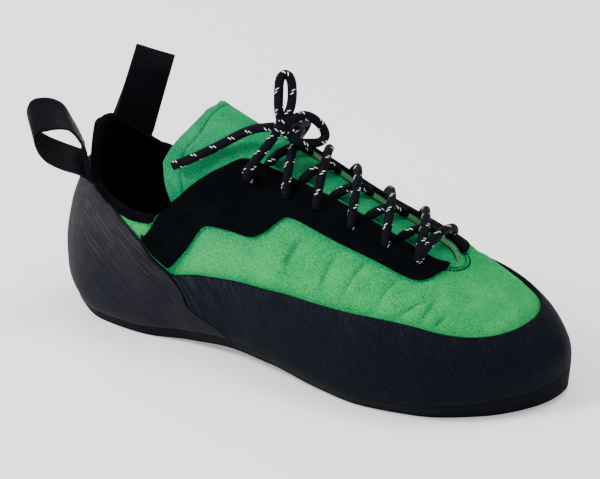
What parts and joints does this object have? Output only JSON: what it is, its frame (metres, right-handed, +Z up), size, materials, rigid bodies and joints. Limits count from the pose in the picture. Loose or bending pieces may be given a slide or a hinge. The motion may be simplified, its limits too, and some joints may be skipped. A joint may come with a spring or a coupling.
{
  "type": "climbing shoe",
  "caption": "Right lace-up climbing shoe with a pointed toe, rubber rand, slingshot heel, suede upper, tied lace, tongue and two pull loops.",
  "frame": {"origin": "on the floor under the middle of the heel, on the flat of the sole's heel", "axes": "+X towards the toe along the length, +Y towards the inner (medial) side of the right foot, +Z up"},
  "size_m": [0.2628, 0.1004, 0.1285],
  "materials": {
    "green_suede": "mid green nubuck with a short nap, darker and more teal where it is rubbed",
    "black_suede": "black suede, matte",
    "rand_rubber": "matte black rubber with a fine brushed grain",
    "sole_rubber": "matte black rubber, smooth tread with no pattern",
    "collar_fabric": "dark grey-blue binding",
    "insole_fabric": "dark lining fabric",
    "lace_cord": "braided black cord with paired white flecks",
    "webbing": "black woven webbing with a satin navy sheen"
  },
  "bodies": {
    "root": {"upper": "green_suede", "tongue": "green_suede", "insole": "insole_fabric", "outsole": "sole_rubber", "heel_rand": "rand_rubber", "toe_rand": "rand_rubber", "collar_band": "collar_fabric", "eyestay_lateral": "black_suede", "eyestay_medial": "black_suede", "lace_crossings": "lace_cord", "lace_knot": "lace_cord", "lace_loop_up": "lace_cord", "lace_loop_side": "lace_cord", "lace_end": "lace_cord", "pull_loop_lateral": "webbing", "pull_loop_medial": "webbing"}
  },
  "joints": []
}
